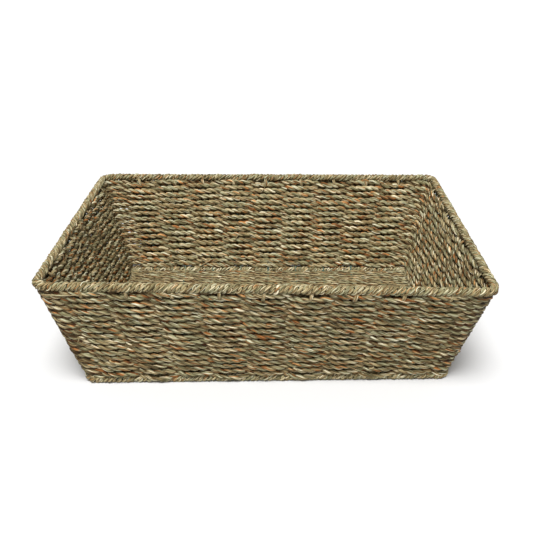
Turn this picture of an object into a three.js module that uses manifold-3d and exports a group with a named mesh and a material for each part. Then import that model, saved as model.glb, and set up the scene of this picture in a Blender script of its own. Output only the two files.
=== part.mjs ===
// A rectangular woven basket with sloping sides. Seagrass rope is woven round thin wire stakes,
// between a rope-wrapped rim and a rope-wrapped base ring. Sizes are in millimetres, +Z is up,
// X is the long way, and the origin is on the ground under the middle of the basket.

import * as THREE from "three";
import { LoftGeometry } from "three/addons/geometries/LoftGeometry.js";
import { mergeVertices } from "three/addons/utils/BufferGeometryUtils.js";
import Module from "manifold-3d";

const wasm = await Module();
wasm.setup();

// Driving dimensions. A ring's size is taken along the centre line of its wire.
const RIM_LENGTH = 400;
const RIM_WIDTH = 310;
const RIM_CORNER_RADIUS = 11;
const BASE_LENGTH = 335;
const BASE_WIDTH = 245;
const BASE_CORNER_RADIUS = 8;
const RING_RISE = 105; // from the base ring up to the rim ring
const RING_WIRE = 3; // diameter
const STAKE_WIRE = 2.5; // diameter
const RIM_WRAP = 9; // across the wrapped rim
const BASE_WRAP = 8; // across the wrapped base ring
const LONG_SIDE_SPACES = 10; // spaces between uprights on the front and on the back
const SHORT_SIDE_SPACES = 8; // spaces between uprights on each end
const ROPE = 4; // thickness of a woven course, across the wall
const COURSES = 15;
const FLOOR_ROPE = 3; // thickness of a floor strip
const FLOOR_STRIPS = 12;
const RIB_BEND = 2; // how far from its corner a rib's bend starts
const GAP = 0.3; // between pieces that touch
const COURSE_GAP = 0.6; // between one course and the next

// Roundness of the round sections.
const WIRE_SIDES = 6;
const WRAP_SIDES = 8;
const RING_ARC_STEPS = 4; // steps in each rounded corner of a ring

// Sizes that follow from the ones above.
const BASE_RING_HEIGHT = BASE_WRAP / 2;
const SWAY = STAKE_WIRE / 2 + ROPE / 2 + 2 * GAP; // a course's middle, out from the stakes
const SWAY_AT_ARC_END = 0.7 * SWAY; // the same where a rounded corner meets a straight side
const WALL_REACH = SWAY + ROPE / 2; // the wall's face, out from the stakes
const FLOOR_WIRE_RISE = (RING_WIRE + STAKE_WIRE) / 2 + GAP; // floor wires over the base ring
const FLOOR_SWAY = STAKE_WIRE / 2 + FLOOR_ROPE / 2 + 2 * GAP;
const WRAP_FLARE = 1 / Math.cos(Math.PI / WRAP_SIDES); // a wrap's corners over its flats
const WEAVE_FROM = Math.max(BASE_WRAP / 2 * WRAP_FLARE + GAP, FLOOR_WIRE_RISE + RIB_BEND) / RING_RISE;
const WEAVE_TO = 1 - (RIM_WRAP / 2 * WRAP_FLARE + GAP) / RING_RISE;

const SIDE_NAMES = ["front", "right", "back", "left"];
const CORNER_NAMES = ["front_left", "front_right", "back_right", "back_left"];
const CORNER_SIGNS = [[-1, -1], [1, -1], [1, 1], [-1, 1]];

const rope = { color: 0xa89468, roughness: 0.9, metalness: 0 };
const wrapRope = { color: 0x9c8f6b, roughness: 0.9, metalness: 0 };
const steel = { color: 0x4c4a38, roughness: 0.6, metalness: 0.4 };

const UP = new THREE.Vector3(0, 0, 1);
const ALONG = new THREE.Vector3(1, 0, 0);

// The two rings' centre lines.
const rimRing = {
  length: RIM_LENGTH, width: RIM_WIDTH, radius: RIM_CORNER_RADIUS, height: BASE_RING_HEIGHT + RING_RISE,
};
const baseRing = {
  length: BASE_LENGTH, width: BASE_WIDTH, radius: BASE_CORNER_RADIUS, height: BASE_RING_HEIGHT,
};

/** The outward direction at an angle round the basket. */
function outward(angle) {
  return new THREE.Vector3(Math.cos(angle), Math.sin(angle), 0);
}

/** A point on the rounded corner of a ring, turned 0 to 1 of the way round it. */
function cornerPoint(ring, corner, turned) {
  const [sideX, sideY] = CORNER_SIGNS[corner];
  const angle = Math.PI + (corner + turned) * Math.PI / 2;
  const centre = new THREE.Vector3(
    sideX * (ring.length / 2 - ring.radius), sideY * (ring.width / 2 - ring.radius), ring.height);
  return { at: centre.addScaledVector(outward(angle), ring.radius), out: outward(angle) };
}

/** A point on a straight side of a ring, a share of the way between its two square corners. */
function sidePoint(ring, side, share) {
  const [fromX, fromY] = CORNER_SIGNS[side];
  const [toX, toY] = CORNER_SIGNS[(side + 1) % 4];
  const from = new THREE.Vector3(fromX * ring.length / 2, fromY * ring.width / 2, ring.height);
  const to = new THREE.Vector3(toX * ring.length / 2, toY * ring.width / 2, ring.height);
  return { at: from.lerp(to, share), out: outward((side - 1) * Math.PI / 2) };
}

/** How many spaces the uprights leave on a side. */
function spacesOn(side) {
  return side % 2 === 0 ? LONG_SIDE_SPACES : SHORT_SIDE_SPACES;
}

/** The uprights in order round the basket: where each meets the base ring and the rim ring. */
function listUprights() {
  const uprights = [];
  for (let side = 0; side < 4; side += 1) {
    uprights.push({
      corner: side,
      base: cornerPoint(baseRing, side, 0.5),
      rim: cornerPoint(rimRing, side, 0.5),
    });
    for (let place = 1; place < spacesOn(side); place += 1) {
      const share = place / spacesOn(side);
      uprights.push({
        side, place,
        base: sidePoint(baseRing, side, share),
        rim: sidePoint(rimRing, side, share),
      });
    }
  }
  return uprights;
}

/** A three.js geometry as a solid that can be cut and joined. */
function toSolid(geometry) {
  const plain = new THREE.BufferGeometry();
  plain.setAttribute("position", geometry.attributes.position);
  plain.setIndex(geometry.index);
  const merged = mergeVertices(plain);
  return new wasm.Manifold(new wasm.Mesh({
    numProp: 3,
    vertProperties: merged.attributes.position.array,
    triVerts: Uint32Array.from(merged.index.array),
  }));
}

/** A solid as a named mesh of one finish. */
function toMesh(name, solid, finish) {
  const result = solid.getMesh();
  const geometry = new THREE.BufferGeometry();
  geometry.setAttribute("position", new THREE.BufferAttribute(result.vertProperties, 3));
  geometry.setIndex(new THREE.BufferAttribute(result.triVerts, 1));
  const mesh = new THREE.Mesh(geometry, new THREE.MeshStandardMaterial(finish));
  mesh.name = name;
  return mesh;
}

/** The corners of a regular section round a point. With eight sides, a flat faces down. */
function roundSection(at, across, up, radius, sides) {
  const points = [];
  for (let corner = 0; corner < sides; corner += 1) {
    const angle = (corner + 0.5) * 2 * Math.PI / sides;
    points.push(at.clone()
      .addScaledVector(across, radius * Math.cos(angle))
      .addScaledVector(up, radius * Math.sin(angle)));
  }
  return points;
}

/** A closed tube along the whole of a ring. */
function ringTube(ring, radius, sides) {
  const sections = [];
  for (let corner = 0; corner < 4; corner += 1) {
    for (let step = 0; step <= RING_ARC_STEPS; step += 1) {
      const { at, out } = cornerPoint(ring, corner, step / RING_ARC_STEPS);
      sections.push(roundSection(at, out.negate(), UP, radius, sides));
    }
  }
  sections.push(sections[0]);
  return toSolid(new LoftGeometry(sections));
}

/** A straight or bent wire through the points, with closed ends. */
function wireTube(points, radius) {
  const sections = points.map((point, index) => {
    const before = points[Math.max(index - 1, 0)];
    const after = points[Math.min(index + 1, points.length - 1)];
    const forward = after.clone().sub(before).normalize();
    const across = ALONG.clone().addScaledVector(forward, -ALONG.dot(forward)).normalize();
    return roundSection(point, across, forward.clone().cross(across), radius, WIRE_SIDES);
  });
  return toSolid(new LoftGeometry(sections, { capStart: true, capEnd: true }));
}

/** How far an upright's end stops along its own line to clear a ring's centre line squarely. */
function setBack(upright, climb, clear) {
  const lean = Math.abs(climb.dot(UP.clone().cross(upright.rim.out)));
  return (clear + lean * STAKE_WIRE / 2) / Math.sqrt(1 - lean ** 2);
}

/** A straight upright's two ends, each a stated way clear of its ring's centre line. */
function stakePoints(upright, clear) {
  const climb = upright.rim.at.clone().sub(upright.base.at).normalize();
  const short = setBack(upright, climb, clear);
  return [
    upright.base.at.clone().addScaledVector(climb, short),
    upright.rim.at.clone().addScaledVector(climb, -short),
  ];
}

/** One end of a rib: from under the rim, down the wall and round the bend into the floor. */
function ribEndPoints(upright, clear) {
  const climb = upright.rim.at.clone().sub(upright.base.at).normalize();
  const short = setBack(upright, climb, clear);
  const inward = upright.base.out.clone().negate();
  const bend = upright.base.at.clone().addScaledVector(climb, FLOOR_WIRE_RISE / climb.z);
  return [
    upright.rim.at.clone().addScaledVector(climb, -short),
    bend.clone().addScaledVector(climb, RIB_BEND),
    bend.clone().addScaledVector(climb, RIB_BEND / 4).addScaledVector(inward, RIB_BEND / 4),
    bend.clone().addScaledVector(inward, RIB_BEND),
  ];
}

/** A rib's points: down the front, across the floor and up the back. */
function ribPoints(front, back, clear) {
  return [...ribEndPoints(front, clear), ...ribEndPoints(back, clear).reverse()];
}

/** The upright wires: ribs from front to back, stakes on the two ends, a post in each corner. */
function listWires(uprights) {
  const onSide = (name) => uprights.filter((upright) => SIDE_NAMES[upright.side] === name);
  const backStakes = onSide("back").reverse();
  const ribs = onSide("front").map((front, index) => ({
    name: `rib_${front.place}`,
    points: (clear) => ribPoints(front, backStakes[index], clear),
  }));
  const stakes = [...onSide("left"), ...onSide("right")].map((upright) => ({
    name: `stake_${SIDE_NAMES[upright.side]}_${upright.place}`,
    points: (clear) => stakePoints(upright, clear),
  }));
  const posts = uprights.filter((upright) => upright.corner !== undefined).map((upright) => ({
    name: `corner_post_${CORNER_NAMES[upright.corner]}`,
    points: (clear) => stakePoints(upright, clear),
  }));
  return [...ribs, ...stakes, ...posts];
}

/** A ring's wrap: a tube with a channel for the ring wire and a hole for each upright. */
function ringWrap(ring, across, wires) {
  const outer = ringTube(ring, across / 2 * WRAP_FLARE, WRAP_SIDES);
  const channel = ringTube(ring, (RING_WIRE / 2 + GAP) * WRAP_FLARE, WRAP_SIDES);
  const holes = wires.map((wire) => wireTube(wire.points(0), STAKE_WIRE / 2 + GAP));
  return [channel, ...holes].reduce((wrap, cut) => wrap.subtract(cut), outer);
}

/** The stations of a course round the wall: each upright, and both ends of each corner's arc. */
function courseStations(uprights, phase) {
  return uprights.flatMap((upright, index) => {
    const side = (index + phase) % 2 === 0 ? 1 : -1;
    const here = { base: upright.base, rim: upright.rim, sway: side * SWAY };
    if (upright.corner === undefined) return [here];
    const arcEnd = (turned) => ({
      base: cornerPoint(baseRing, upright.corner, turned),
      rim: cornerPoint(rimRing, upright.corner, turned),
      sway: side * SWAY_AT_ARC_END,
    });
    return [arcEnd(0), here, arcEnd(1)];
  });
}

/** One course of the wall: a flat band that passes outside one upright and inside the next. */
function wallCourse(uprights, index) {
  const pitch = (WEAVE_TO - WEAVE_FROM) / COURSES;
  const low = WEAVE_FROM + index * pitch;
  const high = low + pitch - COURSE_GAP / RING_RISE;
  const sections = courseStations(uprights, index % 2).map(({ base, rim, sway }) => {
    const climb = rim.at.clone().sub(base.at);
    const lean = climb.dot(base.out) / climb.lengthSq();
    const out = base.out.clone().addScaledVector(climb, -lean).normalize();
    const corner = (share, off) => base.at.clone().addScaledVector(climb, share).addScaledVector(out, off);
    const inner = sway - ROPE / 2;
    const outer = sway + ROPE / 2;
    return [corner(low, inner), corner(high, inner), corner(high, outer), corner(low, outer)];
  });
  sections.push(sections[0]);
  return toSolid(new LoftGeometry(sections));
}

/** One strip of the floor: a flat band from end to end, over one rib and under the next. */
function floorStrip(uprights, index) {
  const inset = Math.max(BASE_WRAP / 2 * WRAP_FLARE, WALL_REACH) + GAP;
  const halfLength = BASE_LENGTH / 2 - inset;
  const halfWidth = BASE_WIDTH / 2 - inset;
  const pitch = 2 * halfWidth / FLOOR_STRIPS;
  const near = -halfWidth + index * pitch;
  const far = near + pitch - GAP;
  const cornerRadius = Math.max(BASE_CORNER_RADIUS - inset, 0);
  const fromEdge = halfWidth - Math.max(-near, far);
  const intoCorner = Math.max(cornerRadius - fromEdge, 0);
  const end = halfLength - cornerRadius + Math.sqrt(cornerRadius ** 2 - intoCorner ** 2);
  const ribPlaces = uprights
    .filter((upright) => SIDE_NAMES[upright.side] === "front")
    .map((upright) => upright.base.at.x);
  const middle = BASE_RING_HEIGHT + FLOOR_WIRE_RISE;
  const sections = [-end, ...ribPlaces, end].map((x, station) => {
    const height = middle + ((station + index) % 2 === 0 ? FLOOR_SWAY : -FLOOR_SWAY);
    const corner = (y, z) => new THREE.Vector3(x, y, z);
    const low = height - FLOOR_ROPE / 2;
    const high = height + FLOOR_ROPE / 2;
    return [corner(far, low), corner(far, high), corner(near, high), corner(near, low)];
  });
  return toSolid(new LoftGeometry(sections, { capStart: true, capEnd: true }));
}

const basket = new THREE.Group();
const uprights = listUprights();
const wires = listWires(uprights);

basket.add(toMesh("rim_wire", ringTube(rimRing, RING_WIRE / 2, WIRE_SIDES), steel));
basket.add(toMesh("base_wire", ringTube(baseRing, RING_WIRE / 2, WIRE_SIDES), steel));
basket.add(toMesh("rim_wrap", ringWrap(rimRing, RIM_WRAP, wires), wrapRope));
basket.add(toMesh("base_wrap", ringWrap(baseRing, BASE_WRAP, wires), wrapRope));
for (const wire of wires) {
  basket.add(toMesh(wire.name, wireTube(wire.points(RING_WIRE / 2 + GAP), STAKE_WIRE / 2), steel));
}
for (let index = 0; index < COURSES; index += 1) {
  basket.add(toMesh(`weave_course_${index + 1}`, wallCourse(uprights, index), rope));
}
for (let index = 0; index < FLOOR_STRIPS; index += 1) {
  basket.add(toMesh(`floor_strip_${index + 1}`, floorStrip(uprights, index), rope));
}

export default basket;
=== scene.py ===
"""A rectangular open basket of woven seagrass rope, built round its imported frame.

Lengths in the classes are in millimetres. Every mesh is written in metres, in the frame's
own axes: X along the long sides, -Y towards the front, +Z up, and the ground at zero.
"""

import logging
import math
from dataclasses import dataclass, field
from enum import Enum

import bmesh
import bpy
import numpy as np
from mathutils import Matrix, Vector


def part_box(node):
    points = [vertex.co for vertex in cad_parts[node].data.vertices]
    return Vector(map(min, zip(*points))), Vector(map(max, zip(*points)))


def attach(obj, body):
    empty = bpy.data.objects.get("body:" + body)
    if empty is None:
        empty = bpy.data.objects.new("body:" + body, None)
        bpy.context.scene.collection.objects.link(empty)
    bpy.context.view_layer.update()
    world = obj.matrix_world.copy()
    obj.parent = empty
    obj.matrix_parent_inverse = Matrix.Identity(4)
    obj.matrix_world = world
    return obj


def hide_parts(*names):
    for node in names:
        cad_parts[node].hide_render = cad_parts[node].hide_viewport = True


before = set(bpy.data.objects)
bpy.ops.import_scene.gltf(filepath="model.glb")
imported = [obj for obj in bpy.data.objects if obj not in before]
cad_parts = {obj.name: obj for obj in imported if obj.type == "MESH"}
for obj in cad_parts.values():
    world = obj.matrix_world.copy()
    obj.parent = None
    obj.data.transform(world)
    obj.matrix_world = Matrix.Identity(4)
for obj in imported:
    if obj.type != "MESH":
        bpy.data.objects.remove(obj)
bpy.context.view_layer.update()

Triple = tuple[float, float, float]
Stops = tuple[tuple[float, str], ...]  # places on a colour ramp, with an sRGB code at each
Socket = bpy.types.NodeSocket
Random = np.random.Generator

MM = 0.001
GROUND = 0.0
UP = np.array([0.0, 0.0, 1.0])
BODY = "root"
SPACES = (10, 8, 10, 8)  # spaces between uprights on the front, right, back and left
SPACES_ROUND = sum(SPACES)
SIDE_STARTS = np.cumsum((0, *SPACES[:-1]))
CREASES_APART = 11.0  # how far a strand runs before its creases have changed
log = logging.getLogger("basket")


class Seed(Enum):
    """Where the random values of each sort of piece start."""

    DRIFT = 500
    WALL = 1000
    FLOOR = 3000
    RIM = 41
    BASE = 42
    TIES = 61
    BLADES = 70
    ENDS = 75

    def source(self, step: int = 0) -> Random:
        """The source of random values for one piece of the sort."""
        return np.random.default_rng(self.value + step)


def srgb(code: str) -> tuple[float, float, float, float]:
    """A linear colour from a six-figure sRGB code.

    Args:
        code: the colour, such as "a08c5a".

    Returns:
        Red, green, blue and an alpha of one.
    """
    parts = [int(code[place:place + 2], 16) / 255 for place in (0, 2, 4)]
    linear = [p / 12.92 if p <= 0.04045 else ((p + 0.055) / 1.055) ** 2.4 for p in parts]
    return (*linear, 1.0)


def unit(vectors: np.ndarray) -> np.ndarray:
    """The vectors of a list, each made one long."""
    return vectors / np.linalg.norm(vectors, axis=-1, keepdims=True)


def run_along(points: np.ndarray) -> np.ndarray:
    """The distance from the first point to each point of a line."""
    steps = np.linalg.norm(np.diff(points, axis=0), axis=1)
    return np.concatenate(([0.0], np.cumsum(steps)))


def wobble(rng: Random, places: np.ndarray, knots: int, size: float) -> np.ndarray:
    """A smooth random wave that joins up with itself.

    Args:
        rng: the source of the random values.
        places: where to read the wave, from 0 to 1 for one whole round.
        knots: how many random values there are in a round.
        size: the spread of the values.

    Returns:
        The wave's height at each place.
    """
    values = rng.normal(0.0, size, knots)
    at = np.mod(places, 1.0) * knots
    low = np.floor(at).astype(int) % knots
    part = at - np.floor(at)
    smooth = part * part * (3 - 2 * part)
    return values[low] * (1 - smooth) + values[(low + 1) % knots] * smooth


def knots_in(length: float, apart: float) -> int:
    """How many knots a wave has when they stand about so far apart, and at least three."""
    return max(int(length / apart), 3)


def bell(distance: np.ndarray, reach: float) -> np.ndarray:
    """A smooth bump that is one at no distance and dies away past its reach."""
    return np.exp(-(distance / reach) ** 2)


def between_ends(share: float, steepness: float) -> float:
    """How free a round is of the rings: 0 at the base and at the rim, and 1 well between them."""
    return min(1.0, steepness * share * (1 - share))


def shade_facing(swing: np.ndarray, outside: float = 1.0) -> np.ndarray:
    """Which way a rope faces the air as it swings from side to side of the wires, for its painted shade.

    Args:
        swing: 1 where the rope passes its wire on the outer side, and -1 on the inner side.
        outside: how openly it faces the air on the outer side.

    Returns:
        From -1 up to that value, with a quick change halfway between wires.
    """
    return np.clip(4 * swing, -1, outside)


@dataclass(frozen=True)
class RingLine:
    """The level centre line of a ring wire: a rectangle with rounded corners."""

    half_length: float
    half_width: float
    radius: float
    height: float

    @classmethod
    def inside(cls, wrap: str, radius: float) -> "RingLine":
        """The line that runs down the middle of a wrapped ring of the frame.

        Args:
            wrap: the frame's node for the wrap.
            radius: the corner radius of the line.

        Returns:
            The ring line.
        """
        low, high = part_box(wrap)
        half_thick = (high.z - low.z) / 2
        return cls(
            half_length=(high.x - half_thick) / MM,
            half_width=(high.y - half_thick) / MM,
            radius=radius,
            height=(high.z + low.z) / 2 / MM,
        )

    def at(self, places: np.ndarray) -> tuple[np.ndarray, np.ndarray]:
        """Points on the line, and the level direction that faces out of the basket there.

        Args:
            places: how far round, in spaces between uprights from the front left post.

        Returns:
            The points and the outward directions.
        """
        places = np.mod(places, SPACES_ROUND)
        side = np.searchsorted(SIDE_STARTS, places, side="right") - 1
        spaces = np.array(SPACES)[side]
        local = places - SIDE_STARTS[side]
        half_run = np.where(side % 2 == 0, self.half_length, self.half_width)
        reach = np.where(side % 2 == 0, self.half_width, self.half_length)
        pitch = 2 * half_run / spaces
        arc = self.radius * math.pi / 4
        first = arc + pitch - self.radius
        from_nearer = np.minimum(local, spaces - local)
        run = np.where(from_nearer < 1, from_nearer * first, first + (from_nearer - 1) * pitch)
        turn = np.clip(1 - run / arc, 0, 1) * math.pi / 4
        along = np.where(run < arc, self.radius * (1 - np.sin(turn)), self.radius + run - arc)
        drop = self.radius * (1 - np.cos(turn))
        hand = np.where(local * 2 <= spaces, 1, -1)
        facing = (side - 1) * math.pi / 2
        out = np.stack([np.cos(facing), np.sin(facing), np.zeros_like(facing)], axis=1)
        onward = np.stack([-out[:, 1], out[:, 0], np.zeros_like(facing)], axis=1)
        points = out * (reach - drop)[:, None] + onward * (hand * (along - half_run))[:, None]
        points[:, 2] = self.height
        turned = facing - hand * turn
        faces = np.stack([np.cos(turned), np.sin(turned), np.zeros_like(turned)], axis=1)
        return points, faces

    def perimeter(self) -> float:
        """The length of the line once round."""
        straight = 4 * (self.half_length + self.half_width)
        return straight - (8 - 2 * math.pi) * self.radius

    def evenly(self, count: int) -> np.ndarray:
        """Places round the line that are evenly spaced along it.

        Args:
            count: how many places.

        Returns:
            The places, in spaces between uprights.
        """
        fine = np.linspace(0, SPACES_ROUND, 200 * SPACES_ROUND + 1)
        run = run_along(self.at(fine)[0])
        return np.interp(np.arange(count) / count * run[-1], run, fine)


@dataclass(frozen=True)
class Wall:
    """The sloping wall between the base ring and the rim, as a surface that rope can follow."""

    base: RingLine
    rim: RingLine

    def directions(self, places: np.ndarray) -> tuple[np.ndarray, np.ndarray, np.ndarray]:
        """The foot of the wall, its climb and the way it faces, at places round it.

        Args:
            places: how far round, in spaces between uprights.

        Returns:
            Points on the base ring, vectors from there to the rim, and outward directions.
        """
        foot, foot_faces = self.base.at(places)
        head, head_faces = self.rim.at(places)
        climb = head - foot
        level = unit(foot_faces + head_faces)
        lean = np.sum(level * climb, axis=1) / np.sum(climb * climb, axis=1)
        return foot, climb, unit(level - climb * lean[:, None])

    def slope(self, place: float) -> float:
        """The wall's height up its slope, at one place round it."""
        return float(np.linalg.norm(self.directions(np.array([place]))[1][0]))

    def at(self, places: np.ndarray, share: np.ndarray, off: np.ndarray) -> np.ndarray:
        """Points near the wall.

        Args:
            places: how far round, in spaces between uprights.
            share: how far up, from 0 at the base ring to 1 at the rim.
            off: how far out of the wall, or into the basket where it is negative.

        Returns:
            The points.
        """
        foot, climb, out = self.directions(places)
        return foot + climb * np.asarray(share)[..., None] + out * np.asarray(off)[..., None]


@dataclass(frozen=True)
class Settling:
    """The slight twist of a handmade basket: how far each corner of its rings has moved."""

    rim: RingLine
    rim_moves: tuple[Triple, ...] = (
        (0.5, 3.0, 1.8),  # front left
        (-3.5, -1.0, -0.6),  # front right
        (-1.5, 3.0, 1.6),  # back right
        (0.0, 3.0, 1.6),  # back left
    )
    base_moves: tuple[Triple, ...] = (
        (-0.5, -8.0, 0.0),
        (3.0, 6.0, 0.0),
        (0.0, 0.0, 0.0),
        (0.0, 0.0, 0.0),
    )

    def apply(self, points: np.ndarray) -> np.ndarray:
        """Moves points with the basket's corners.

        Args:
            points: places on the true shape.

        Returns:
            The places once the basket has settled.
        """
        right = (points[:, 0] / self.rim.half_length + 1) / 2
        back = (points[:, 1] / self.rim.half_width + 1) / 2
        high = points[:, 2] / self.rim.height
        nearness = ((1 - right) * (1 - back), right * (1 - back), right * back, (1 - right) * back)
        moved = points.copy()
        for near, rim_move, base_move in zip(nearness, self.rim_moves, self.base_moves, strict=True):
            moved += (near * high)[:, None] * np.array(rim_move)
            moved += (near * (1 - high))[:, None] * np.array(base_move)
        return moved


@dataclass
class Strand:
    """One ply, blade or wire: a line with a thickness at each point."""

    points: np.ndarray
    radii: np.ndarray
    tone: float
    closed: bool = False
    furrow: float = 0.0  # depth of the creases along it, as a share of its radius
    flatness: float = 1.0  # thickness over width
    air: np.ndarray | None = None  # towards the open air at each point, up to about one long; it places the painted shade

    def outline(self, flats: int) -> np.ndarray:
        """How far out each corner of each ring of the strand stands, as a share of its radius.

        Args:
            flats: the number of corners round the strand.

        Returns:
            One row for each point of the strand, with a share for each corner.
        """
        run = run_along(self.points)
        rng = np.random.default_rng(int(self.tone * 1000))
        knots = knots_in(run[-1], CREASES_APART)
        creases = [wobble(rng, run / run[-1], knots, self.furrow) for _ in range(flats)]
        circle = np.arange(flats) * 2 * math.pi / flats
        squash = np.hypot(np.cos(circle), self.flatness * np.sin(circle))
        return (1 + np.stack(creases, axis=1)) * squash

    def lie(self, flats: int) -> np.ndarray:
        """Where each corner of each ring lies: how far along, and its cosine and sine round it."""
        circle = np.arange(flats) * 2 * math.pi / flats
        count = len(self.points)
        return np.stack([
            np.repeat(run_along(self.points), flats),
            np.tile(np.cos(circle), count),
            np.tile(np.sin(circle), count),
        ], axis=1)

    def openness(self, spread: np.ndarray) -> np.ndarray:
        """How open to the air each corner of each ring is, from 0 in a crease to 1 outside, which sets how
        dark its painted shade is.

        Args:
            spread: the way from the strand's middle to each corner, ring by ring.

        Returns:
            The openness of each corner.
        """
        if self.air is None:
            return np.ones(len(spread))
        air = np.repeat(self.air, len(spread) // len(self.points), axis=0)
        return np.clip(0.5 + 0.5 * np.sum(unit(spread) * air, axis=1), 0, 1)


@dataclass(frozen=True)
class RopeMake:
    """How a two-ply rope is laid up."""

    ply_radius: float = 1.98
    ply_offset: float = 0.98  # from the rope's middle to a ply's
    lay: float = 16.0  # the run of one whole twist
    furrow: float = 0.13
    uneven: float = 0.35  # how far the twist strays, in radians
    uneven_apart: float = 60.0
    lumpy: float = 0.08  # how much a ply's thickness varies
    lumps_apart: float = 9.0
    own_shade_share: float = 0.5  # how far a ply's painted shade depends on its place in the rope
    side_shade_share: float = 0.7  # the same for the side that the rope faces

    def plies(self, line: np.ndarray, out: np.ndarray, rng: Random,
              girth: np.ndarray, closed: bool, press: np.ndarray, facing: np.ndarray) -> list[Strand]:
        """The two plies of a rope, twisted round its line so that they fall to the right.

        Args:
            line: points along the middle of the rope.
            out: a direction square to the rope at each point.
            rng: the source of the random values.
            girth: the rope's thickness at each point, as a share of its usual one.
            closed: whether the rope joins up with itself.
            press: how flat the rope is pressed along that direction, from 0 to 1.
            facing: how openly that direction faces the air, from -1 for away from it to 1; it sets the
                painted shade.

        Returns:
            The two plies.
        """
        ends = np.vstack([line[-1:], line, line[:1]]) if closed else np.vstack(
            [2 * line[:1] - line[1:2], line, 2 * line[-1:] - line[-2:-1]])
        onward = unit(ends[2:] - ends[:-2])
        out = unit(out - onward * np.sum(out * onward, axis=1)[:, None])
        across = np.cross(onward, out)
        whole = np.vstack([line, line[:1]]) if closed else line
        run = run_along(whole)
        turns = run[-1] / self.lay
        turns = round(turns) if closed else turns
        share = run[:len(line)] / run[-1]
        uneven = wobble(rng, share, knots_in(run[-1], self.uneven_apart), self.uneven)
        angle = 2 * math.pi * turns * share + uneven + rng.uniform(0, 2 * math.pi)
        made = []
        for ply in range(2):
            turned = angle + ply * math.pi
            offset = self.ply_offset * girth
            points = line + out * (offset * np.cos(turned) * (1 - press))[:, None]
            points = points + across * (offset * np.sin(turned) * (1 + press / 2))[:, None]
            fat = 1 + wobble(rng, share, knots_in(run[-1], self.lumps_apart), self.lumpy)
            radii = self.ply_radius * girth * fat
            # painted shade: the way to the air, which darkens the sides that face into the rope or the weave
            air = self.own_shade_share * unit(points - line) + self.side_shade_share * out * facing[:, None]
            made.append(Strand(points, radii, rng.uniform(0, 100), closed, self.furrow, air=air))
        return made


class Smoothness(Enum):
    """How many flats there are round a strand."""

    SIX = 1
    EIGHT = 2

    def flats(self) -> int:
        """The number of flats."""
        return 4 + 2 * self.value


def tubes(name: str, strands: list[Strand], roundness: Smoothness) -> bpy.types.Mesh:
    """Runs a round tube along each strand.

    Args:
        name: the mesh's name.
        strands: the strands.
        roundness: the number of flats round each.

    Returns:
        One mesh, in metres, whose points follow the strands ring by ring.
    """
    curve = bpy.data.curves.new(name, "CURVE")
    curve.dimensions = "3D"
    curve.bevel_depth = MM
    curve.bevel_resolution = roundness.value
    curve.twist_mode = "MINIMUM"
    for strand in strands:
        count = len(strand.points)
        spline = curve.splines.new("POLY")
        spline.points.add(count - 1)
        spline.points.foreach_set("co", np.column_stack([strand.points * MM, np.ones(count)]).ravel())
        spline.points.foreach_set("radius", strand.radii)
        spline.use_cyclic_u = strand.closed
    holder = bpy.data.objects.new(name + "_line", curve)
    bpy.context.scene.collection.objects.link(holder)
    graph = bpy.context.evaluated_depsgraph_get()
    mesh = bpy.data.meshes.new_from_object(holder.evaluated_get(graph))
    mesh.name = name
    bpy.data.objects.remove(holder)
    bpy.data.curves.remove(curve)
    return mesh


def close_ends(mesh: bpy.types.Mesh) -> None:
    """Fills a mesh's open ends, turns its faces outward and shades them smooth."""
    shape = bmesh.new()
    shape.from_mesh(mesh)
    bmesh.ops.holes_fill(shape, edges=[edge for edge in shape.edges if edge.is_boundary])
    bmesh.ops.recalc_face_normals(shape, faces=shape.faces)
    for face in shape.faces:
        face.smooth = True
    shape.to_mesh(mesh)
    shape.free()


def weave_mesh(name: str, strands: list[Strand], roundness: Smoothness) -> bpy.types.Mesh:
    """Turns strands into one mesh that knows where each point lies on its strand.

    Args:
        name: the mesh's name.
        strands: the strands.
        roundness: the number of flats round each.

    Returns:
        The mesh, in metres, with the attributes "lie", "tone" and "open", the last being the mask for
        painted shade.
    """
    flats = roundness.flats()
    mesh = tubes(name, strands, roundness)
    middle = np.concatenate([np.repeat(strand.points * MM, flats, axis=0) for strand in strands])
    outline = np.concatenate([strand.outline(flats).ravel() for strand in strands])
    corners = np.empty(middle.size)
    mesh.vertices.foreach_get("co", corners)
    spread = (corners.reshape(-1, 3) - middle) * outline[:, None]
    placed = middle + spread
    placed[:, 2] = np.maximum(placed[:, 2], GROUND)
    mesh.vertices.foreach_set("co", placed.ravel())
    ends = np.cumsum([len(strand.points) * flats for strand in strands])[:-1]
    pairs = list(zip(strands, np.split(spread, ends), strict=True))
    lie = np.concatenate([strand.lie(flats) for strand in strands])
    tone = np.concatenate([np.full(len(part), strand.tone) for strand, part in pairs])
    # open: how far each corner faces into a crease, for the painted shade in the finish
    openness = np.concatenate([strand.openness(part) for strand, part in pairs])
    mesh.attributes.new("lie", "FLOAT_VECTOR", "POINT").data.foreach_set("vector", lie.ravel())
    mesh.attributes.new("tone", "FLOAT", "POINT").data.foreach_set("value", tone)
    mesh.attributes.new("open", "FLOAT", "POINT").data.foreach_set("value", openness)
    close_ends(mesh)
    return mesh


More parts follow.
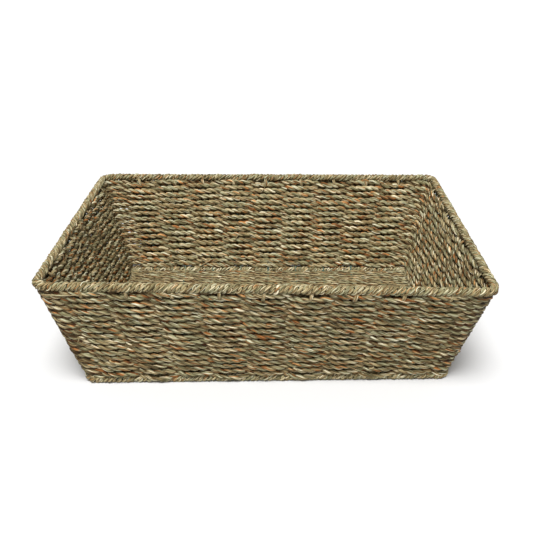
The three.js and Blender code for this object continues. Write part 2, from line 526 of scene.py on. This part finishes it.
class NodeSheet:
    """A material's nodes, with short calls that add and join them."""

    def __init__(self, name: str) -> None:
        """Starts a material of a name, with a Principled shader."""
        self.material = bpy.data.materials.new(name)
        self.material.use_nodes = True
        self.nodes = self.material.node_tree.nodes
        self.links = self.material.node_tree.links
        self.shader = self.nodes["Principled BSDF"]

    def attribute(self, name: str, output: str) -> Socket:
        """One output of a named attribute of the mesh."""
        node = self.nodes.new("ShaderNodeAttribute")
        node.attribute_name = name
        return node.outputs[output]

    def scaled(self, vector: Socket, scale: Triple, shift: Socket) -> Socket:
        """A vector times a scale, with a number added to each part."""
        node = self.nodes.new("ShaderNodeVectorMath")
        node.operation = "MULTIPLY_ADD"
        self.links.new(vector, node.inputs[0])
        node.inputs[1].default_value = scale
        self.links.new(shift, node.inputs[2])
        return node.outputs[0]

    def noise(self, vector: Socket, detail: float) -> Socket:
        """A noise read at a vector."""
        node = self.nodes.new("ShaderNodeTexNoise")
        node.inputs["Scale"].default_value = 1.0
        node.inputs["Detail"].default_value = detail
        node.inputs["Roughness"].default_value = 0.55
        self.links.new(vector, node.inputs["Vector"])
        return node.outputs["Fac"]

    def ramp(self, value: Socket, stops: Stops) -> Socket:
        """A colour that follows a value through stops of place and sRGB code."""
        node = self.nodes.new("ShaderNodeValToRGB")
        band = node.color_ramp
        for place, code in stops[1:-1]:
            band.elements.new(place).color = srgb(code)
        band.elements[0].position, band.elements[-1].position = stops[0][0], stops[-1][0]
        band.elements[0].color, band.elements[-1].color = srgb(stops[0][1]), srgb(stops[-1][1])
        self.links.new(value, node.inputs["Fac"])
        return node.outputs["Color"]

    def between(self, value: Socket, low: float, high: float,
                to_low: float = 0.0, to_high: float = 1.0) -> Socket:
        """A value moved from one range to another, held inside it."""
        node = self.nodes.new("ShaderNodeMapRange")
        for name, number in (("From Min", low), ("From Max", high), ("To Min", to_low), ("To Max", to_high)):
            node.inputs[name].default_value = number
        self.links.new(value, node.inputs["Value"])
        return node.outputs["Result"]

    def mixed(self, share: Socket, first: Socket, second: Socket) -> Socket:
        """Two colours mixed by a share."""
        node = self.nodes.new("ShaderNodeMix")
        node.data_type = "RGBA"
        self.links.new(share, node.inputs["Factor"])
        self.links.new(first, node.inputs[6])
        self.links.new(second, node.inputs[7])
        return node.outputs[2]

    def product(self, first: Socket, second: Socket) -> Socket:
        """Two colours multiplied."""
        node = self.nodes.new("ShaderNodeMix")
        node.data_type = "RGBA"
        node.blend_type = "MULTIPLY"
        node.inputs["Factor"].default_value = 1.0
        self.links.new(first, node.inputs[6])
        self.links.new(second, node.inputs[7])
        return node.outputs[2]

    def blended(self, share: float, first: Socket, second: Socket) -> Socket:
        """Two values mixed, with a share of the second."""
        node = self.nodes.new("ShaderNodeMix")
        node.inputs["Factor"].default_value = share
        self.links.new(first, node.inputs["A"])
        self.links.new(second, node.inputs["B"])
        return node.outputs["Result"]

    def bump(self, height: Socket, strength: float, depth: float) -> None:
        """Gives the shader a bump of a depth in metres."""
        node = self.nodes.new("ShaderNodeBump")
        node.inputs["Strength"].default_value = strength
        node.inputs["Distance"].default_value = depth
        self.links.new(height, node.inputs["Height"])
        self.links.new(node.outputs["Normal"], self.shader.inputs["Normal"])


@dataclass(frozen=True)
class SeagrassFinish:
    """Dried seagrass: long blades that run with the ply, in grey-green, khaki, straw and rust, with painted
    shade in the creases.
    """

    name: str
    khaki: Stops = (
        (0.36, "483520"), (0.44, "6c5938"), (0.505, "8a7b55"), (0.57, "a99b77"), (0.65, "dcd1b4"),
    )
    green: Stops = (
        (0.36, "3e351f"), (0.44, "61593b"), (0.505, "7d7857"), (0.57, "9b9878"), (0.65, "d2cdb4"),
    )
    rust: Stops = (
        (0.36, "3c1f0c"), (0.45, "74471f"), (0.55, "9f6a37"), (0.65, "c89d66"),
    )
    # painted shade: multiplies the colour darker in the creases between plies and on sides that face into
    # the weave
    crease: Stops = (
        (0.10, "523e2a"), (0.42, "9c8a74"), (0.72, "ffffff"),
    )
    painted_light_shift: float = 0.0  # painted light and shade: how far the colours slide towards their light ends, to offset how much light falls on each part
    green_from: float = 0.50  # the value of the hue noise from which blades are grey-green
    rust_from: float = 0.60  # the same for the noise that places the rust
    rough: float = 0.72
    rough_spread: float = 0.12  # how much rougher the dark blades are, and smoother the light ones
    shine: float = 0.2
    hue_edge: float = 0.04  # how far one hue takes to pass into the next
    blade_scale: Triple = (0.06, 1.8, 1.8)  # along the ply, then across it
    fibre_scale: Triple = (0.14, 3.0, 3.0)
    hue_scale: Triple = (0.035, 0.75, 0.75)
    patch_scale: Triple = (0.060, 0.9, 0.9)
    fibre_share: float = 0.35  # how much of the grain is fibres, and not whole blades
    grain_range: tuple[float, float] = (0.35, 0.65)
    grain_depth: float = 0.6
    grain_strength: float = 0.9

    def make(self) -> bpy.types.Material:
        """Builds the material.

        Returns:
            The material, which reads the attributes "lie", "tone" and "open"; "open" places the painted
            shade.
        """
        sheet = NodeSheet(self.name)
        lie = sheet.attribute("lie", "Vector")
        tone = sheet.attribute("tone", "Fac")
        blades = sheet.noise(sheet.scaled(lie, self.blade_scale, tone), detail=1.0)
        fibres = sheet.noise(sheet.scaled(lie, self.fibre_scale, tone), detail=2.0)
        hues = sheet.noise(sheet.scaled(lie, self.hue_scale, tone), detail=0.5)
        patches = sheet.noise(sheet.scaled(lie, self.patch_scale, tone), detail=1.0)
        grain = sheet.blended(self.fibre_share, blades, fibres)
        khaki, green, rust = (
            sheet.ramp(grain, tuple((place - self.painted_light_shift, code) for place, code in stops))
            for stops in (self.khaki, self.green, self.rust)
        )
        greenish = sheet.between(hues, self.green_from - self.hue_edge, self.green_from + self.hue_edge)
        rusty = sheet.between(patches, self.rust_from, self.rust_from + self.hue_edge)
        colour = sheet.mixed(rusty, sheet.mixed(greenish, khaki, green), rust)
        # painted shade: the colour is darkened where the "open" attribute is low, in the creases
        shade = sheet.ramp(sheet.attribute("open", "Fac"), self.crease)
        sheet.links.new(sheet.product(colour, shade), sheet.shader.inputs["Base Color"])
        rough = sheet.between(grain, *self.grain_range,
                              self.rough + self.rough_spread, self.rough - self.rough_spread)
        sheet.links.new(rough, sheet.shader.inputs["Roughness"])
        sheet.shader.inputs["Specular IOR Level"].default_value = self.shine
        sheet.bump(grain, self.grain_strength, self.grain_depth * MM)
        return sheet.material


@dataclass(frozen=True)
class WireFinish:
    """Thin wire with a worn coat of dark green paint, rubbed to tan in places."""

    name: str = "painted_wire"
    paint: Stops = (
        (0.35, "1f3a34"), (0.5, "2f4a3c"), (0.6, "6d6442"), (0.75, "8d7f56"),
    )
    wear_scale: Triple = (0.05, 0.6, 0.6)
    wear_range: tuple[float, float] = (0.35, 0.7)
    rough_range: tuple[float, float] = (0.4, 0.75)  # from paint to bare wire
    wear_depth: float = 0.1

    def make(self) -> bpy.types.Material:
        """Builds the material.

        Returns:
            The material, which reads the attributes "lie" and "tone".
        """
        sheet = NodeSheet(self.name)
        lie = sheet.attribute("lie", "Vector")
        tone = sheet.attribute("tone", "Fac")
        wear = sheet.noise(sheet.scaled(lie, self.wear_scale, tone), detail=3.0)
        rough = sheet.between(wear, *self.wear_range, *self.rough_range)
        sheet.links.new(sheet.ramp(wear, self.paint), sheet.shader.inputs["Base Color"])
        sheet.links.new(rough, sheet.shader.inputs["Roughness"])
        sheet.bump(wear, 0.3, self.wear_depth * MM)
        return sheet.material


@dataclass
class Maker:
    """Turns strands into finished pieces of the basket."""

    settling: Settling
    finishes: dict[str, bpy.types.Material] = field(default_factory=dict)

    def piece(self, name: str, strands: list[Strand], finish: SeagrassFinish | WireFinish,
              slot: str, stands_for: tuple[str, ...] = (),
              roundness: Smoothness = Smoothness.SIX) -> bpy.types.Object:
        """Makes one piece, dresses it and lets it ride on the basket.

        Args:
            name: the piece's name.
            strands: its strands, on the true shape.
            finish: its finish.
            slot: the record's slot that the finish belongs to. It is not used.
            stands_for: the frame's nodes that it replaces.
            roundness: the number of flats round each strand.

        Returns:
            The piece.
        """
        for strand in strands:
            strand.points = self.settling.apply(strand.points)
        mesh = weave_mesh(name, strands, roundness)
        if finish.name not in self.finishes:
            self.finishes[finish.name] = finish.make()
        mesh.materials.clear()
        mesh.materials.append(self.finishes[finish.name])
        piece = bpy.data.objects.new(name, mesh)
        bpy.context.scene.collection.objects.link(piece)
        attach(piece, BODY)
        if stands_for:
            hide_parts(*stands_for)
        mesh.calc_loop_triangles()
        log.info("%s: %d strands, %d triangles", name, len(strands), len(mesh.loop_triangles))
        return piece


@dataclass
class WallWeave:
    """The rope that is woven round the uprights, in rounds from the base ring to the rim."""

    wall: Wall
    rounds: int = 30
    courses: int = 15
    lowest: float = 4.4  # the first round's middle, up the slope from the base ring
    headroom: float = 5.6  # the last round's middle, down the slope from the rim
    sway: float = 2.5  # how far to each side of the uprights the rope's middle swings
    uneven_sway: float = 0.08
    press: float = 0.35  # how flat the rope is pressed where it passes an upright
    fullness: float = 1.12  # its thickness halfway between uprights, as a share of its usual one
    thinner: float = 0.05  # how much thinner it is at an upright
    thinner_outside: float = 0.19  # the same on the outside of the long sides
    lumpy: float = 0.05  # how much its thickness varies
    lumps: int = 60  # how often it does, in a round
    corner_pinch: float = 0.94  # how much of the sway is lost at a corner post
    corner_reach: float = 0.5  # how far from the post that reaches, in spaces between uprights
    wander: float = 0.9  # how far a group of rounds drifts up or down together
    group: int = 5  # rounds in such a group
    own_wander: float = 0.18  # how far each round drifts by itself
    base_reach: float = 0.8  # how many rounds up the next two reach
    overhang: float = 2.6  # how far the lowest round hangs over the outside of the base ring
    lift: float = 1.2  # how far it stands clear of the ring on the inside
    slack: float = 0.3  # how much thinner the rope is where the weave is loosest
    slack_place: float = 27.65  # near the back left post
    slack_reach: float = 0.55
    outer_shade_facing: float = 0.5  # how openly the rope's outer side meets the air, and so how little painted shade it gets
    step: float = 1.7  # between points along the rope
    rope: RopeMake = RopeMake()
    finish: SeagrassFinish = SeagrassFinish("seagrass_wall", painted_light_shift=-0.010)

    def drift(self, places: np.ndarray, index: int) -> np.ndarray:
        """How far a round wanders up or down the wall, much as the rounds next to it do.

        Args:
            places: how far round, in spaces between uprights.
            index: which round.

        Returns:
            The drift at each place.
        """
        low, part = divmod(index / self.group, 1)
        waves = []
        for guide in (int(low), int(low) + 1):
            rng = Seed.DRIFT.source(guide)
            waves.append(wobble(rng, places / SPACES_ROUND, SPACES_ROUND // 2, self.wander))
        share = index / (self.rounds - 1)
        return (waves[0] * (1 - part) + waves[1] * part) * between_ends(share, steepness=5)

    def corners(self, places: np.ndarray) -> np.ndarray:
        """How near each place is to a corner post, from 0 well away to 1 at the post."""
        posts = np.array([*SIDE_STARTS, SPACES_ROUND])
        return bell(np.min(np.abs(places[:, None] - posts), axis=1), self.corner_reach)

    def girth(self, rng: Random, places: np.ndarray, swing: np.ndarray, share: float) -> np.ndarray:
        """The rope's thickness along a round, as a share of its usual one.

        Args:
            rng: the source of the random values.
            places: how far round, in spaces between uprights.
            swing: from -1 inside an upright to 1 outside one.
            share: how far up the wall the round runs.

        Returns:
            The thickness at each place.
        """
        long_side = np.searchsorted(SIDE_STARTS, places, side="right") % 2
        slimmer = long_side * (swing > 0) * (1 - self.corners(places))
        thinner = self.thinner + (self.thinner_outside - self.thinner) * slimmer
        lumps = 1 + wobble(rng, places / SPACES_ROUND, self.lumps, self.lumpy)
        slack = self.slack * between_ends(share, steepness=6)
        loose = 1 - slack * bell(places - self.slack_place, self.slack_reach)
        return (self.fullness - thinner * np.abs(swing)) * lumps * loose

    def round_strands(self, index: int) -> list[Strand]:
        """One round of the wall's rope.

        Args:
            index: which round, from 0 at the base.

        Returns:
            Its two plies.
        """
        rng = Seed.WALL.source(index)
        slope = self.wall.slope(SPACES[0] / 2)
        low = self.lowest / slope
        high = 1 - self.headroom / slope
        share = low + (high - low) * index / (self.rounds - 1)
        rough_length = self.wall.base.perimeter() * (1 - share) + self.wall.rim.perimeter() * share
        places = np.linspace(0, SPACES_ROUND, int(rough_length / self.step), endpoint=False)
        round_share = places / SPACES_ROUND
        swing = np.cos(math.pi * (places + index))
        width = 1 + wobble(rng, round_share, SPACES_ROUND, self.uneven_sway)
        pinch = 1 - self.corner_pinch * self.corners(places)
        off = self.sway * swing * width * pinch
        own_drift = wobble(rng, round_share, 2 * SPACES_ROUND, self.own_wander) * np.abs(swing)
        near_base = math.exp(-index / self.base_reach)
        spill = np.where(swing > 0, -self.overhang, self.lift) * np.abs(swing) * near_base
        drift = self.drift(places, index) + own_drift + spill
        line = self.wall.at(places, share + drift / slope, off)
        out = self.wall.directions(places)[2]
        girth = self.girth(rng, places, swing, share)
        facing = shade_facing(swing, self.outer_shade_facing)
        return self.rope.plies(line, out, rng, girth, True, self.press * swing ** 2, facing)

    def build(self, maker: Maker) -> None:
        """Makes one piece for each pair of rounds."""
        each = self.rounds // self.courses
        for course in range(self.courses):
            strands = []
            for index in range(course * each, (course + 1) * each):
                strands += self.round_strands(index)
            maker.piece(f"wall_rope_{course + 1}", strands, self.finish, "wall_rope",
                        (f"weave_course_{course + 1}",))


@dataclass
class Floor:
    """The floor: rows of rope from end to end, over and under the ribs."""

    base: RingLine
    rows: int = 72
    strips: int = 12
    inset: float = 5.4  # from the base ring's line to the first row
    tuck: float = 1.5  # how far short of the end's line a row stops
    sway: float = 0.7  # how far above and below its middle height a row swings
    height: float = 3.1
    stray: float = 0.3  # how far a row strays to the front or back
    strays: int = 12  # how often it does, from end to end
    bumpy: float = 0.2  # how far it strays up or down
    bumps: int = 24
    fullness: float = 0.98  # the rope's thickness halfway between ribs, as a share of its usual one
    fuller: float = 0.06  # how much thicker it is at a rib
    press: float = 0.2  # how flat the rope is pressed at a rib
    step: float = 2.2  # between points along the rope
    rope: RopeMake = RopeMake(ply_radius=1.35, ply_offset=0.72, lay=17.0)
    # painted shade: the floor rope's colours are slid darker, as the floor faces up into the light
    finish: SeagrassFinish = SeagrassFinish("seagrass_floor", rust_from=0.66, painted_light_shift=-0.034)

    def row_strands(self, index: int) -> list[Strand]:
        """One row of the floor.

        Args:
            index: which row, from 0 at the front.

        Returns:
            Its two plies.
        """
        rng = Seed.FLOOR.source(index)
        reach = self.base.half_width - self.inset
        middle = -reach + 2 * reach * index / (self.rows - 1)
        rounding = max(self.base.radius - (self.base.half_width - abs(middle)), 0)
        cut = self.base.radius - math.sqrt(self.base.radius ** 2 - rounding ** 2)
        end = self.base.half_length - self.tuck - cut
        along = np.linspace(-end, end, int(2 * end / self.step))
        spacing = 2 * self.base.half_length / SPACES[0]
        swing = np.cos(math.pi * (along / spacing + index))
        share = (along + end) / (2 * end)
        across = middle + wobble(rng, share, self.strays, self.stray)
        height = self.height + self.sway * swing + wobble(rng, share, self.bumps, self.bumpy)
        line = np.stack([along, across, height], axis=1)
        out = np.tile(UP, (len(along), 1))
        girth = self.fullness + self.fuller * np.abs(swing)
        return self.rope.plies(line, out, rng, girth, False, self.press * swing ** 2, shade_facing(swing))

    def build(self, maker: Maker) -> None:
        """Makes one piece for each strip of rows."""
        each = self.rows // self.strips
        for strip in range(self.strips):
            strands = []
            for index in range(strip * each, (strip + 1) * each):
                strands += self.row_strands(index)
            maker.piece(f"floor_rope_{strip + 1}", strands, self.finish, "floor_rope",
                        (f"floor_strip_{strip + 1}",))


@dataclass
class RingWrap:
    """A rope wound round a ring wire in close turns."""

    name: str
    ring: RingLine
    across: float
    seed: Seed
    starts: int = 2  # ropes that are wound side by side
    spacing: float = 4.0  # between one rope and the next, along the ring
    per_turn: int = 15  # points along the rope
    press: float = 0.25  # how flat the rope is pressed on the ring
    uneven: float = 0.35  # how far a turn strays, in radians
    loose: float = 0.04  # how much its distance from the ring varies
    lumpy: float = 0.07
    rope: RopeMake = RopeMake(ply_radius=1.35, ply_offset=0.80, lay=9.0)
    # painted shade: the rim rope's colours are slid darker, as the rim catches more light
    finish: SeagrassFinish = SeagrassFinish("seagrass_wrap", rust_from=0.645, painted_light_shift=-0.014)

    def build(self, maker: Maker, stands_for: tuple[str, ...]) -> None:
        """Makes the wrap as one piece.

        Args:
            maker: what makes the piece.
            stands_for: the frame's nodes that it replaces.
        """
        rng = self.seed.source()
        turns = round(self.ring.perimeter() / self.spacing / self.starts)
        count = turns * self.per_turn
        share = np.arange(count) / count
        middle, faces = self.ring.at(self.ring.evenly(count))
        reach = self.across / 2 - self.rope.ply_radius - self.rope.ply_offset * (1 - self.press)
        uneven = wobble(rng, share, turns, self.uneven)
        strands = []
        for start in range(self.starts):
            angle = 2 * math.pi * (turns * share + start / self.starts) + uneven
            radial = faces * np.cos(angle)[:, None] + UP * np.sin(angle)[:, None]
            loose = 1 + wobble(rng, share, 2 * turns, self.loose)
            line = middle + radial * (reach * loose)[:, None]
            girth = 1 + wobble(rng, share, 2 * turns, self.lumpy)
            press = np.full(count, self.press)
            strands += self.rope.plies(line, radial, rng, girth, True, press, np.ones(count))
        maker.piece(self.name, strands, self.finish, "wrap_rope", stands_for)


@dataclass
class RimTies:
    """Short bands of blade, one at each upright but the posts, that bind the weave to the rim."""

    wall: Wall
    drop: float = 6.4  # the middle of a band, down the slope from the rim's line
    half_tall: float = 4.4
    half_deep: float = 4.6
    blades: int = 3  # side by side in each band
    blade_width: float = 1.0
    furrow: float = 0.12
    astray: float = 0.05  # how far a band strays from its upright, in spaces between uprights
    slant: float = 0.02  # how far it leans to each side
    corners: int = 24
    finish: SeagrassFinish = SeagrassFinish("seagrass_tie", green_from=0.56)

    def build(self, maker: Maker) -> None:
        """Makes all the bands as one piece."""
        rng = Seed.TIES.source()
        angle = np.arange(self.corners) * 2 * math.pi / self.corners
        strands = []
        spacing = 2 * self.wall.rim.half_length / SPACES[0]
        for upright in sorted(set(range(SPACES_ROUND)) - {int(corner) for corner in SIDE_STARTS}):
            centre = upright + rng.normal(0, self.astray)
            slope = self.wall.slope(centre)
            tall = self.half_tall * rng.uniform(0.85, 1.1)
            for blade in range(self.blades):
                place = centre + (blade - (self.blades - 1) / 2) * self.blade_width / spacing
                places = place + self.slant * np.sin(angle)
                share = 1 - (self.drop - tall * np.sin(angle)) / slope
                off = self.half_deep * np.cos(angle)
                points = self.wall.at(places, share, off)
                radii = np.full(self.corners, self.blade_width * rng.uniform(0.55, 0.7))
                strands.append(Strand(points, radii, rng.uniform(0, 100), True, self.furrow))
        maker.piece("rim_ties", strands, self.finish, "wrap_rope")


@dataclass(frozen=True)
class Tail:
    """Where one loose blade or rope end leaves the weave, and how it lies."""

    place: float  # in spaces between uprights
    share: float  # how far up the wall, from 0 at the base ring to 1 at the rim
    out: int  # 1 outside the basket, or -1 inside
    way: int  # 1 to run on to the next upright, or -1 to run back
    length: float
    climb: float  # how far it climbs, as a share of its length
    lift: float  # how far its middle stands off the rope
    width: float  # half its width


@dataclass
class LooseEnds:
    """Loose blades and short rope ends that stand out of the weave."""

    wall: Wall
    face: float = 5.6  # the rope's face, out from the uprights
    sunk: float = 1.0  # how far under the face a blade starts
    lowest: float = 0.04  # the least share of the wall's height that a blade reaches
    highest: float = 0.97
    taper: float = 0.6  # how much of its width a blade loses by its tip
    furrow: float = 0.1
    flatness: float = 0.45
    tails: tuple[Tail, ...] = (
        Tail(0.34, 0.46, 1, 1, length=8, climb=0.85, lift=1.6, width=1.4),
        Tail(0.90, 0.25, 1, 1, length=6, climb=-0.3, lift=1.4, width=1.3),
        Tail(0.12, 0.95, 1, 1, length=34, climb=0.02, lift=0.8, width=0.9),
        Tail(2.75, 0.93, 1, -1, length=8, climb=0.8, lift=1.2, width=0.5),
        Tail(5.70, 0.15, 1, 1, length=7, climb=-0.4, lift=1.4, width=1.3),
        Tail(7.15, 0.16, 1, 1, length=24, climb=-0.35, lift=0.8, width=0.8),
        Tail(25.4, 0.05, -1, -1, length=20, climb=0.42, lift=1.6, width=0.9),
        Tail(24.2, 0.30, -1, -1, length=14, climb=0.75, lift=1.8, width=0.7),
        Tail(23.2, 0.84, -1, -1, length=7, climb=0.8, lift=1.2, width=0.9),
    )
    outside: int = 90
    inside: int = 70
    ends: int = 16
    clear: float = 0.7  # how far they start from a corner, in spaces between uprights
    steps: int = 9
    finish: SeagrassFinish = SeagrassFinish("seagrass_loose", green_from=0.58)

    def blade(self, rng: Random, tail: Tail) -> Strand:
        """One blade that leaves the weave, arches and tapers off.

        Args:
            rng: the source of the random values.
            tail: where it starts and how it lies.

        Returns:
            The blade.
        """
        along = np.linspace(0, 1, self.steps)
        slope = self.wall.slope(tail.place)
        spacing = 2 * self.wall.rim.half_length / SPACES[0]
        level = math.sqrt(max(1 - tail.climb ** 2, 0.0)) * tail.length / spacing
        places = tail.place + tail.way * level * along
        climb = tail.climb * tail.length * along / slope
        shares = np.clip(tail.share + climb, self.lowest, self.highest)
        arch = tail.lift * np.sin(math.pi * along * rng.uniform(0.55, 0.95))
        points = self.wall.at(places, shares, tail.out * (self.face - self.sunk + arch))
        radii = tail.width * (1 - self.taper * along)
        return Strand(points, radii, rng.uniform(0, 100), False, self.furrow, self.flatness)

    def anywhere(self, rng: Random) -> float:
        """A random place round the wall, clear of the corners."""
        side = int(rng.integers(len(SPACES)))
        return float(SIDE_STARTS[side] + rng.uniform(self.clear, SPACES[side] - self.clear))

    def build(self, maker: Maker) -> None:
        """Makes the loose blades and the rope ends."""
        sides = (("loose_blades_outside", 1, self.outside), ("loose_blades_inside", -1, self.inside))
        for name, out, count in sides:
            rng = Seed.BLADES.source(out)
            strands = []
            for _ in range(count):
                strands.append(self.blade(rng, Tail(
                    place=self.anywhere(rng), share=rng.uniform(0.06, 0.93),
                    out=out, way=int(rng.choice((-1, 1))),
                    length=rng.uniform(6, 20), climb=rng.normal(0, 0.28), lift=rng.uniform(0.2, 1.6),
                    width=rng.uniform(0.28, 0.6))))
            maker.piece(name, strands, self.finish, "wall_rope")
        rng = Seed.ENDS.source()
        strands = [self.blade(rng, tail) for tail in self.tails]
        for _ in range(self.ends):
            strands.append(self.blade(rng, Tail(
                place=self.anywhere(rng), share=rng.uniform(0.08, 0.9),
                out=int(rng.choice((-1, 1))), way=int(rng.choice((-1, 1))),
                length=rng.uniform(5, 9), climb=rng.uniform(0.4, 0.9), lift=rng.uniform(1.0, 2.2),
                width=rng.uniform(0.9, 1.5))))
        maker.piece("rope_ends", strands, self.finish, "wall_rope")


@dataclass
class Skeleton:
    """The wires inside the weave: two rings, ribs that cross the floor, stakes and posts."""

    wall: Wall
    ring_wire: float = 3.0
    stake_wire: float = 2.5
    bend: float = 4.0  # from the base ring's line to the level part of a rib
    floor_level: float = 3.2
    upright_points: int = 12
    floor_points: int = 9
    ring_points: int = 400
    ring_tone: float = 7.0  # the tone of the rings' paint
    rib_tone: float = 11.0  # from one rib's tone to the next
    stake_tone: float = 9.0  # the same for the stakes
    post_tone: float = 5.0  # the same for the corner posts
    finish: WireFinish = WireFinish()

    def upright(self, place: float) -> np.ndarray:
        """Points up one upright, from the base ring's line to the rim's.

        Args:
            place: where it stands, in spaces between uprights.

        Returns:
            The points, from the base up.
        """
        share = np.linspace(0.0, 1.0, self.upright_points)
        return self.wall.at(np.full(len(share), place), share, np.zeros(len(share)))

    def rib(self, place: int) -> np.ndarray:
        """Points along a rib: down the front, across the floor and up the back.

        Args:
            place: the rib's place on the front.

        Returns:
            The points.
        """
        front = self.upright(place)
        back = self.upright(SIDE_STARTS[3] - place)
        over_ring = self.wall.base.height + self.bend
        up = front[front[:, 2] > over_ring][::-1]
        down = back[back[:, 2] > over_ring]
        floor = np.empty((self.floor_points, 3))
        floor[:, 0] = front[0, 0]
        floor[:, 1] = np.linspace(-1, 1, self.floor_points) * (self.wall.base.half_width - self.bend)
        floor[:, 2] = self.floor_level
        return np.vstack([up, floor, down])

    def wire(self, points: np.ndarray, width: float, tone: float, closed: bool = False) -> Strand:
        """A wire through points."""
        return Strand(points, np.full(len(points), width / 2), tone, closed)

    def build(self, maker: Maker) -> None:
        """Makes every wire as a piece of its own."""
        for name, ring in (("rim_ring_wire", self.wall.rim), ("base_ring_wire", self.wall.base)):
            points = ring.at(ring.evenly(self.ring_points))[0]
            stands_for = (name.replace("_ring", ""),)
            self._make(maker, name, self.wire(points, self.ring_wire, self.ring_tone, True), stands_for)
        for place in range(1, SPACES[0]):
            wire = self.wire(self.rib(place), self.stake_wire, self.rib_tone * place)
            self._make(maker, f"rib_wire_{place}", wire, (f"rib_{place}",))
        for side, name in ((1, "right"), (3, "left")):
            for place in range(1, SPACES[side]):
                line = self.upright(SIDE_STARTS[side] + place)
                wire = self.wire(line, self.stake_wire, self.stake_tone * place)
                self._make(maker, f"stake_wire_{name}_{place}", wire, (f"stake_{name}_{place}",))
        corners = ("front_left", "front_right", "back_right", "back_left")
        for start, name in zip(SIDE_STARTS, corners, strict=True):
            wire = self.wire(self.upright(float(start)), self.stake_wire, self.post_tone * start)
            self._make(maker, f"corner_wire_{name}", wire, (f"corner_post_{name}",))

    def _make(self, maker: Maker, name: str, strand: Strand, stands_for: tuple[str, ...]) -> None:
        """Makes one wire."""
        maker.piece(name, [strand], self.finish, "frame_wire", stands_for, Smoothness.EIGHT)


@dataclass(frozen=True)
class Studio:
    """A pale floor, a soft lamp, a white room and the camera. Its lengths are in metres."""

    sensor: float = 36.0  # in millimetres, like the lens
    lens: float = 53.2
    stand: Triple = (0.0051, -0.7601, 0.3998)
    dip: float = 23.93  # how far the camera looks down, in degrees
    turn: float = 0.46  # how far it turns to the left
    floor_size: float = 6.0
    floor_grey: float = 0.56
    floor_rough: float = 0.9
    lamp_way: Triple = (-0.05, -0.45, 0.89)  # from the basket to the lamp
    lamp_spread: float = 28.0  # how wide the lamp looks, in degrees
    lamp_strength: float = 5.3  # in watts a square metre
    fall: tuple[float, float] = (0.05, 0.25)  # how high the room's light starts and ends to fall
    strengths: tuple[float, float] = (1.0, 0.40)  # the room's light below and above that

    def camera(self) -> None:
        """Stands the camera in front of the basket and a little above it."""
        data = bpy.data.cameras.new("camera")
        data.sensor_width = self.sensor
        data.lens = self.lens
        camera = bpy.data.objects.new("camera", data)
        camera.location = self.stand
        camera.rotation_euler = (math.radians(90 - self.dip), 0.0, math.radians(self.turn))
        bpy.context.scene.collection.objects.link(camera)
        bpy.context.scene.camera = camera

    def floor(self) -> None:
        """Lays the floor."""
        shape = bmesh.new()
        bmesh.ops.create_grid(shape, x_segments=1, y_segments=1, size=self.floor_size)
        mesh = bpy.data.meshes.new("studio_floor")
        shape.to_mesh(mesh)
        shape.free()
        sheet = NodeSheet("studio_floor")
        sheet.shader.inputs["Base Color"].default_value = (*[self.floor_grey] * 3, 1.0)
        sheet.shader.inputs["Roughness"].default_value = self.floor_rough
        mesh.materials.append(sheet.material)
        floor = bpy.data.objects.new("studio_floor", mesh)
        bpy.context.scene.collection.objects.link(floor)

    def sun(self) -> None:
        """Hangs one broad, soft lamp so far off that it lights the whole floor alike."""
        data = bpy.data.lights.new("key", "SUN")
        data.angle = math.radians(self.lamp_spread)
        data.energy = self.lamp_strength
        lamp = bpy.data.objects.new("key", data)
        lamp.rotation_euler = Vector(self.lamp_way).to_track_quat("Z", "Y").to_euler()
        bpy.context.scene.collection.objects.link(lamp)

    def room(self) -> None:
        """Surrounds the studio with white that is brightest low down, where it meets the floor."""
        world = bpy.data.worlds.new("room")
        world.use_nodes = True
        nodes, links = world.node_tree.nodes, world.node_tree.links
        back = nodes["Background"]
        back.inputs["Color"].default_value = (1.0, 1.0, 1.0, 1.0)
        split = nodes.new("ShaderNodeSeparateXYZ")
        links.new(nodes.new("ShaderNodeTexCoord").outputs["Generated"], split.inputs[0])
        fall = nodes.new("ShaderNodeMapRange")
        for name, number in zip(("From Min", "From Max", "To Min", "To Max"),
                                (*self.fall, *self.strengths), strict=True):
            fall.inputs[name].default_value = number
        links.new(split.outputs["Z"], fall.inputs["Value"])
        links.new(fall.outputs["Result"], back.inputs["Strength"])
        bpy.context.scene.world = world

    def build(self) -> None:
        """Sets up the whole studio."""
        self.camera()
        self.floor()
        self.sun()
        self.room()
        bpy.context.scene.view_settings.view_transform = "Standard"


def main() -> None:
    """Builds the basket, piece by piece, and the studio round it."""
    logging.basicConfig(level=logging.INFO, format="%(name)s %(message)s")
    Studio().build()
    wall = Wall(
        base=RingLine.inside("base_wrap", radius=8.0),
        rim=RingLine.inside("rim_wrap", radius=11.0),
    )
    maker = Maker(Settling(wall.rim))
    Skeleton(wall).build(maker)
    WallWeave(wall).build(maker)
    Floor(wall.base).build(maker)
    RingWrap("rim_rope", wall.rim, across=8.8, seed=Seed.RIM).build(maker, ("rim_wrap",))
    # painted light: the base rope's colours are slid lighter, as it stands in shade at the foot of the wall
    lightened_base_finish = SeagrassFinish("seagrass_base", rust_from=0.645, painted_light_shift=0.012)
    base_rope = RingWrap("base_rope", wall.base, across=8.4, seed=Seed.BASE, finish=lightened_base_finish)
    base_rope.build(maker, ("base_wrap",))
    RimTies(wall).build(maker)
    LooseEnds(wall).build(maker)


if __name__ == "__main__":
    main()
